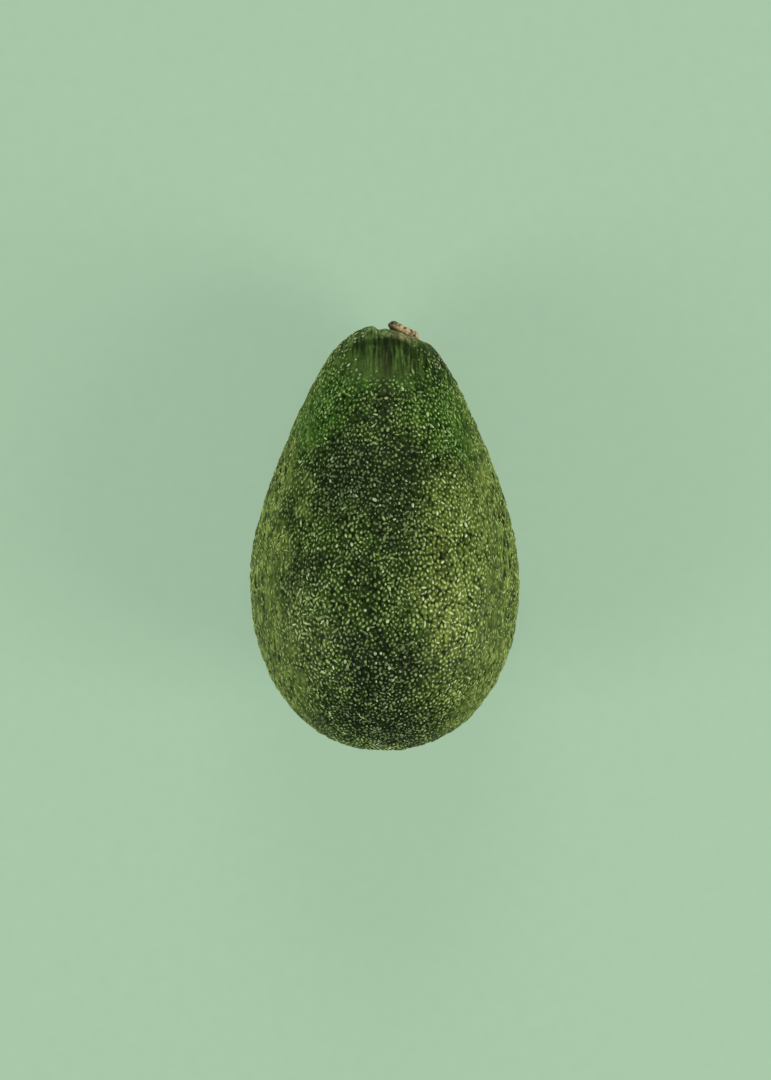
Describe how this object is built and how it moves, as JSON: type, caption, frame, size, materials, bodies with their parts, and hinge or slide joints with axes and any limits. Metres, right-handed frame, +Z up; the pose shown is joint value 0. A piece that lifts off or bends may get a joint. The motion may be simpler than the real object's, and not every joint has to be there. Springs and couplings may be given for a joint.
{
  "type": "avocado",
  "caption": "Whole pear-shaped avocado with pebbled green skin and a dry stem button, lying on its side on a small flat spot.",
  "frame": {"origin": "on the resting surface, under the middle of the fruit's box as it lies", "axes": "+Z up; +Y towards the stem end, along the fruit's length; +X across it"},
  "size_m": [0.0684, 0.1072, 0.0685],
  "materials": {
    "skin": "satin, pebbled dark green skin with pale dots",
    "bark": "dry, rough and corky"
  },
  "bodies": {
    "root": {"avocado_fruit": "skin", "stem_button": "bark"}
  },
  "joints": []
}
